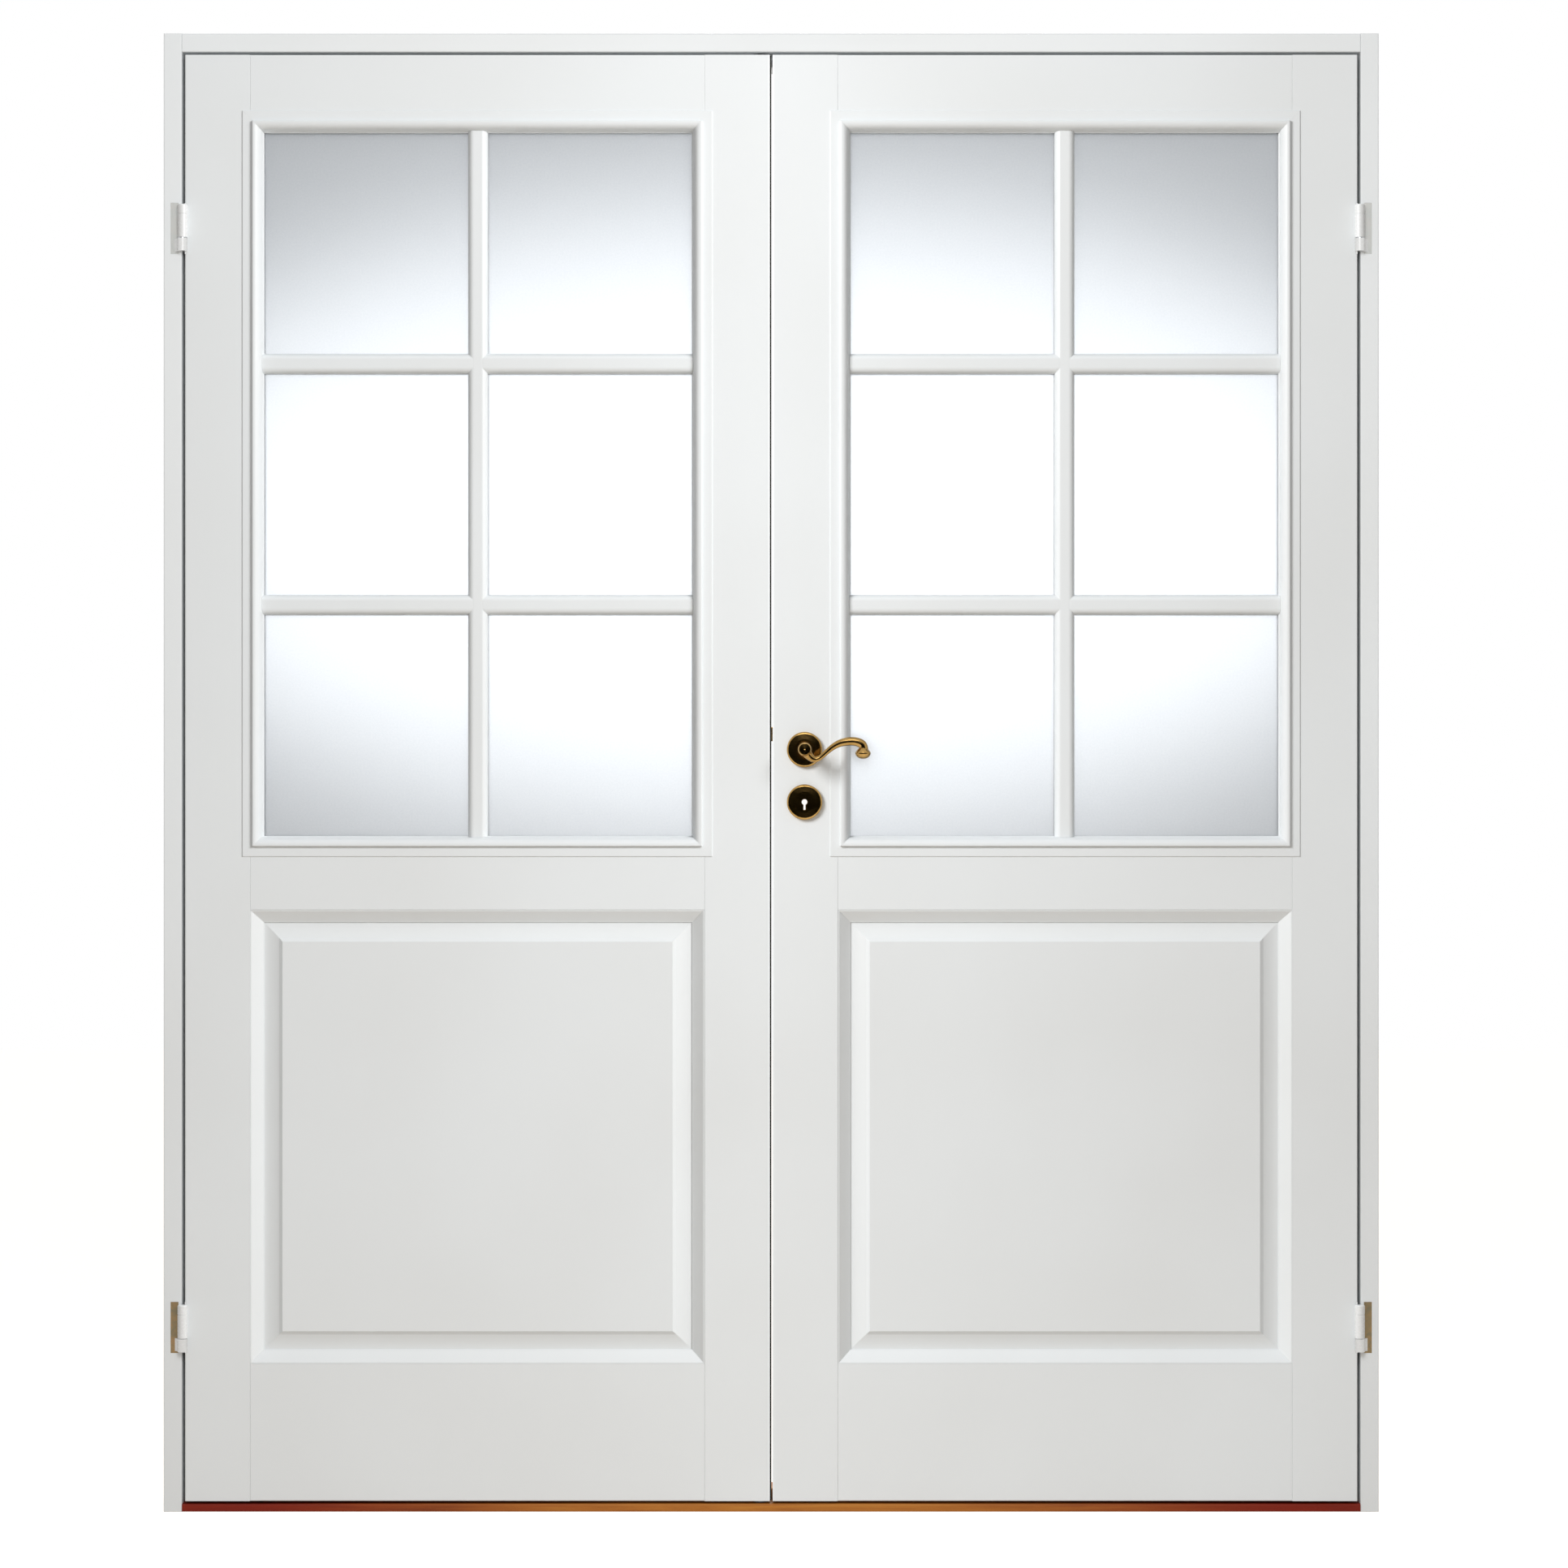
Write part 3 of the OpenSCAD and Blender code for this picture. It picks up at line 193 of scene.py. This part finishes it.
# Hinge barrels
# Turned steel knuckles, one on the frame and a sleeve on the leaf, lacquered white so that they
# match the paint. The sleeve lifts off its pin.
# Stoved white lacquer: smoother and a little glossier than the brushed paint, faint orange peel.
peel_size = 3 * MM
hinge_lacquer, tree, shader = start_material("stoved_white_lacquer",
                                             {"IOR": 1.5, "Specular IOR Level": 0.5})
place = add_node(tree, "TexCoord")
peel = add_node(tree, "TexNoise", {"Scale": 1 / peel_size, "Detail": 1.0},
                {"Vector": place.outputs["Object"]})
tone = add_node(tree, "ValToRGB", {"stops": [(0.3, "#E4E6E6"), (0.7, "#E7E9EA")]},
                {"Fac": peel.outputs["Fac"]})
tree.links.new(tone.outputs["Color"], shader.inputs["Base Color"])
gloss = add_node(tree, "MapRange", {"To Min": 0.25, "To Max": 0.29}, {"Value": peel.outputs["Fac"]})
tree.links.new(gloss.outputs["Result"], shader.inputs["Roughness"])
relief = add_node(tree, "Bump", {"Strength": 0.03, "Distance": 0.1 * MM},
                  {"Height": peel.outputs["Fac"]})
tree.links.new(relief.outputs["Normal"], shader.inputs["Normal"])
dress(hinge_lacquer, "hinge_knuckles", "left_hinge_sleeves", "right_hinge_sleeves")


# Stiles and rails
# Laminated pine with rounded arrises, dowelled at the joints and painted after gluing up, so the
# brush runs along each piece and a faint line shows where a rail meets a stile.
for side in ("left_", "right_"):
    dress(upright_paint, side + "hinge_stile", side + "meeting_stile")
    dress(level_paint, side + "top_rail", side + "lock_rail", side + "bottom_rail")


# Dowels
# Turned beech pegs that hold rail and stile together. They are glued into both, out of sight in
# the joints.
# Beech: pale pinkish brown with short flecks along the peg.
fleck_length, fleck_width = 9 * MM, 0.8 * MM
beech, tree, shader = start_material("plain_beech", {"IOR": 1.5, "Specular IOR Level": 0.3})
place = add_node(tree, "TexCoord")
peg = add_node(tree, "Mapping", {"Scale": (1 / fleck_length, 1 / fleck_width, 1 / fleck_width)},
               {"Vector": place.outputs["Object"]})
fleck = add_node(tree, "TexNoise", {"Scale": 1.0, "Detail": 3.0}, {"Vector": peg.outputs["Vector"]})
tone = add_node(tree, "ValToRGB", {"stops": [(0.3, "#B98F63"), (0.7, "#D2AC80")]},
                {"Fac": fleck.outputs["Fac"]})
tree.links.new(tone.outputs["Color"], shader.inputs["Base Color"])
gloss = add_node(tree, "MapRange", {"To Min": 0.55, "To Max": 0.7}, {"Value": fleck.outputs["Fac"]})
tree.links.new(gloss.outputs["Result"], shader.inputs["Roughness"])
dress(beech, "left_dowels", "right_dowels")


# Panels and their mouldings
# A raised and fielded board floats in grooves in the frame; a small planted moulding is mitred
# round it on both faces. The panel's grain runs upright.
moulding_paint = brushed_paint("satin_paint_moulding", None)
for side in ("left_", "right_"):
    dress(upright_paint, side + "panel")
    dress(moulding_paint, side + "panel_mouldings")


# Glass
# One sheet of float glass in each leaf, acid etched all over so that it lets light through but
# blurs what is behind it. It stands between two rings of bead.
# Etched float glass: a fine even grain, a faint cool grey body and no sharp reflections. Real etch
# is far finer; it is drawn coarser so it shows.
etch_grain = 2.6 * MM
etched_glass, tree, shader = start_material("etched_float_glass",
                                            {"IOR": 1.5, "Transmission Weight": 1.0})
place = add_node(tree, "TexCoord")
etch = add_node(tree, "TexNoise", {"Scale": 1 / etch_grain, "Detail": 2.0},
                {"Vector": place.outputs["Object"]})
tone = add_node(tree, "ValToRGB", {"stops": [(0.3, "#AFB3B7"), (0.7, "#B7BABD")]},
                {"Fac": etch.outputs["Fac"]})
tree.links.new(tone.outputs["Color"], shader.inputs["Base Color"])
blur = add_node(tree, "MapRange", {"To Min": 0.52, "To Max": 0.62}, {"Value": etch.outputs["Fac"]})
tree.links.new(blur.outputs["Result"], shader.inputs["Roughness"])
dress(etched_glass, "left_glass", "right_glass")


# Glazing beads and bars
# Run mouldings with a lip that laps over stile and rail, mitred at the corners and pinned on both
# faces. The bars are stuck to the glass and scribed to the beads and to each other.
for side in ("left_", "right_"):
    dress(moulding_paint, side + "bead_front", side + "bead_back", side + "bars")


# Seal
# A strip of extruded rubber pushed into a kerf in the left leaf's meeting edge. It darkens the gap
# between the leaves.
# Extruded rubber: almost black, dull, with faint drawn lines along it, coarser than real ones.
line_gap, line_length = 0.7 * MM, 90 * MM
seal_rubber, tree, shader = start_material("extruded_rubber",
                                           {"IOR": 1.5, "Specular IOR Level": 0.25})
place = add_node(tree, "TexCoord")
drawn = add_node(tree, "Mapping", {"Scale": (1 / line_gap, 1 / line_gap, 1 / line_length)},
                 {"Vector": place.outputs["Object"]})
lines = add_node(tree, "TexNoise", {"Scale": 1.0, "Detail": 2.0},
                 {"Vector": drawn.outputs["Vector"]})
tone = add_node(tree, "ValToRGB", {"stops": [(0.3, "#262523"), (0.7, "#33312E")]},
                {"Fac": lines.outputs["Fac"]})
tree.links.new(tone.outputs["Color"], shader.inputs["Base Color"])
gloss = add_node(tree, "MapRange", {"To Min": 0.6, "To Max": 0.78}, {"Value": lines.outputs["Fac"]})
tree.links.new(gloss.outputs["Result"], shader.inputs["Roughness"])
dress(seal_rubber, "meeting_seal")


# Strike and flush bolts
# Plates of brushed steel let into the left leaf's meeting edge with countersunk screws, and the
# round bolts behind them that a thumb piece slides into head and threshold.
# Brushed steel: fine lines along the plate that stretch the highlights. Real lines are about
# 0.1 mm apart; they are drawn coarser so they show.
belt_gap, belt_length = 0.6 * MM, 40 * MM
brushed_steel, tree, shader = start_material("brushed_steel", {"Metallic": 1.0, "Anisotropic": 0.4})
place = add_node(tree, "TexCoord")
belt = add_node(tree, "Mapping", {"Scale": (1 / belt_gap, 1 / belt_gap, 1 / belt_length)},
                {"Vector": place.outputs["Object"]})
brushing = add_node(tree, "TexNoise", {"Scale": 1.0, "Detail": 3.0},
                    {"Vector": belt.outputs["Vector"]})
tone = add_node(tree, "ValToRGB", {"stops": [(0.3, "#A2A4A6"), (0.7, "#BFC1C3")]},
                {"Fac": brushing.outputs["Fac"]})
tree.links.new(tone.outputs["Color"], shader.inputs["Base Color"])
gloss = add_node(tree, "MapRange", {"To Min": 0.28, "To Max": 0.44},
                 {"Value": brushing.outputs["Fac"]})
tree.links.new(gloss.outputs["Result"], shader.inputs["Roughness"])
relief = add_node(tree, "Bump", {"Strength": 0.1, "Distance": 0.05 * MM},
                  {"Height": brushing.outputs["Fac"]})
tree.links.new(relief.outputs["Normal"], shader.inputs["Normal"])
dress(brushed_steel, "strike_plate", "flush_bolt_plates", "left_edge_screws",
      "flush_bolt_top", "flush_bolt_bottom")


# Lock
# A steel case in a mortise in the right leaf, with the follower that the spindle turns and two
# bolts that run out through a brass face plate.
dress(brushed_steel, "lock_case", "lock_follower", "spindle", "rose_bolts")
# Polished brass: warm yellow, mirror bright, with faint smears, a little browning and edges that
# the buffing wheel has rounded.
smear_size, buffed_edge = 18 * MM, 1.0 * MM
polished_brass, tree, shader = start_material("polished_brass", {"Metallic": 1.0})
place = add_node(tree, "TexCoord")
smear = add_node(tree, "TexNoise", {"Scale": 1 / smear_size, "Detail": 4.0, "Roughness": 0.6},
                 {"Vector": place.outputs["Object"]})
tone = add_node(tree, "ValToRGB", {"stops": [(0.3, "#9A7A44"), (0.7, "#BC985C")]},
                {"Fac": smear.outputs["Fac"]})
tree.links.new(tone.outputs["Color"], shader.inputs["Base Color"])
gloss = add_node(tree, "MapRange", {"To Min": 0.1, "To Max": 0.22}, {"Value": smear.outputs["Fac"]})
tree.links.new(gloss.outputs["Result"], shader.inputs["Roughness"])
buffed = add_node(tree, "Bevel", {"samples": 6, "Radius": buffed_edge})
tree.links.new(buffed.outputs["Normal"], shader.inputs["Normal"])
dress(polished_brass, "lock_face_plate", "right_edge_screws", "latch_bolt", "dead_bolt")


# Roses and escutcheons
# Brass discs, turned with a rounded rim and polished. Two stand on each face of the right leaf:
# the rose round the lever's neck and the escutcheon round the keyhole. Bolts through the leaf draw
# each pair together.
dress(polished_brass, "rose_front", "rose_back", "escutcheon_front", "escutcheon_back")


# Levers
# Cast brass, filed and polished: a turned neck in the rose, a swan-necked grip and a round foot.
# Both levers sit on the square spindle that turns the lock's follower.
dress(polished_brass, "lever_front", "lever_back")


# Floor, light and camera
# A pale floor in a plain white studio: even white fill all round, broad soft lamps in front and
# behind, and an oval one close behind the leaves that shines through the etched glass.
scene = bpy.context.scene
scene.view_settings.view_transform = "Standard"


def show_white(tree, plain, shown, socket):
    """Strength that lights at the plain level; camera, metal and glass see the shown level."""
    path = add_node(tree, "LightPath")
    shiny = add_node(tree, "Math", {"operation": "MAXIMUM"},
                     {0: path.outputs["Is Camera Ray"], 1: path.outputs["Is Glossy Ray"]})
    direct = add_node(tree, "Math", {"operation": "MAXIMUM"},
                      {0: shiny.outputs["Value"], 1: path.outputs["Is Transmission Ray"]})
    level = add_node(tree, "MapRange", {"To Min": plain, "To Max": shown},
                     {"Value": direct.outputs["Value"]})
    tree.links.new(level.outputs["Result"], socket)


floor_edge = 9
floor_mesh = bpy.data.meshes.new("floor")
floor_mesh.from_pydata([(-floor_edge, -floor_edge, 0), (floor_edge, -floor_edge, 0),
                        (floor_edge, floor_edge, 0), (-floor_edge, floor_edge, 0)],
                       [], [(0, 1, 2, 3)])
floor = bpy.data.objects.new("floor", floor_mesh)
scene.collection.objects.link(floor)
# Pale floor: a warm matt sheet that throws little light back, shown white with the shadow kept.
floor_shown = 0.72
pale_floor, tree, shader = start_material("pale_floor",
                                          {"Roughness": 0.8, "Specular IOR Level": 0.1})
shader.inputs["Base Color"].default_value = linear("#D5CABD")
shader.inputs["Emission Color"].default_value = linear("#FFFFFF")
show_white(tree, 0.0, floor_shown, shader.inputs["Emission Strength"])
floor_mesh.materials.append(pale_floor)

studio_fill = 0.47
world = bpy.data.worlds.new("white_studio")
scene.world = world
world.use_nodes = True
tree = world.node_tree
background = tree.nodes["Background"]
background.inputs["Color"].default_value = linear("#FFFFFF")
show_white(tree, studio_fill, 1.0, background.inputs["Strength"])

# A dark cloth hangs behind the camera and runs on over the floor in front of it. Only polished
# metal and gloss see it, as dark patches.
cloth_edge = 6
cloth_line = [(-5.5, 4.5), (-5.5, 0.02), (-2.1, 0.02)]
cloth_mesh = bpy.data.meshes.new("dark_cloth")
cloth_mesh.from_pydata([(x, y, z) for y, z in cloth_line for x in (-cloth_edge, cloth_edge)],
                       [], [(0, 1, 3, 2), (2, 3, 5, 4)])
cloth = bpy.data.objects.new("dark_cloth", cloth_mesh)
scene.collection.objects.link(cloth)
dark_cloth, tree, shader = start_material("dark_cloth",
                                          {"Roughness": 1.0, "Specular IOR Level": 0.0})
shader.inputs["Base Color"].default_value = linear("#1C1E18")
cloth_mesh.materials.append(dark_cloth)
cloth.visible_camera = False
cloth.visible_diffuse = False
cloth.visible_transmission = False
cloth.visible_shadow = False


def add_lamp(name, place, target, size, watts, pieces):
    """Soft oval lamp that faces a point and lights these pieces only; the camera doesn't see it."""
    data = bpy.data.lights.new(name, "AREA")
    data.shape = "ELLIPSE"
    data.size, data.size_y = size
    data.energy = watts
    lamp = bpy.data.objects.new(name, data)
    lamp.location = place
    lamp.rotation_euler = (Vector(target) - Vector(place)).to_track_quat("-Z", "Y").to_euler()
    lamp.visible_camera = False
    scene.collection.objects.link(lamp)
    lit = bpy.data.collections.new(name + "_pieces")
    for piece in pieces:
        lit.objects.link(piece)
    lamp.light_linking.receiver_collection = lit


# The photo lights both leaves from the meeting side, so each leaf has its own key lamp across the
# middle. The frame has one from the front, the fittings a weaker one from above, and the back has
# one for the views from there.
groups = {"left": [], "right": [], "frame": [floor], "fittings": []}
for name, piece in nodes.items():
    start = name.split("_")[0]
    if start in ("lever", "rose", "escutcheon"):
        groups["fittings"].append(piece)
    else:
        groups[start if start in groups else "frame"].append(piece)
soft = (1.8, 1.8)
aim_height, glass_height = 0.95, 1.46
for group, x, z, watts in (("left", 2.2, 2.75, 137), ("right", -2.2, 2.75, 137),
                           ("frame", 0.0, 2.2, 55), ("fittings", 0.0, 3.2, 40)):
    add_lamp(group + "_key", (x, -3.0, z), (x * -0.2, 0, aim_height), soft, watts, groups[group])
panes = [nodes["left_glass"], nodes["right_glass"]]
solid_pieces = [piece for piece in nodes.values() if piece not in panes]
add_lamp("back_key", (0, 3.4, 3.0), (0, 0, aim_height), soft, 75, solid_pieces)
add_lamp("behind_glass", (0, 0.75, glass_height), (0, 0, glass_height), (2.2, 1.0), 10.5,
         panes + [floor])

# The camera looks straight at the doors. One pixel of the photo is this wide at the frame's front
# face, and the photo's middle lies a little to the right of the doors' middle.
PHOTO_PX = 1932
PX = 1.1446 * MM
LENS, SENSOR = 85.0, 36.0
frame_front, photo_middle_x, photo_middle_z = -0.046, 15.75 * PX, 1.0265
camera_data = bpy.data.cameras.new("camera")
camera_data.lens = LENS
camera_data.sensor_width = SENSOR
camera = bpy.data.objects.new("camera", camera_data)
camera.location = (photo_middle_x, frame_front - PHOTO_PX * PX * LENS / SENSOR, photo_middle_z)
camera.rotation_euler = (math.radians(90), 0, 0)
scene.collection.objects.link(camera)
scene.camera = camera
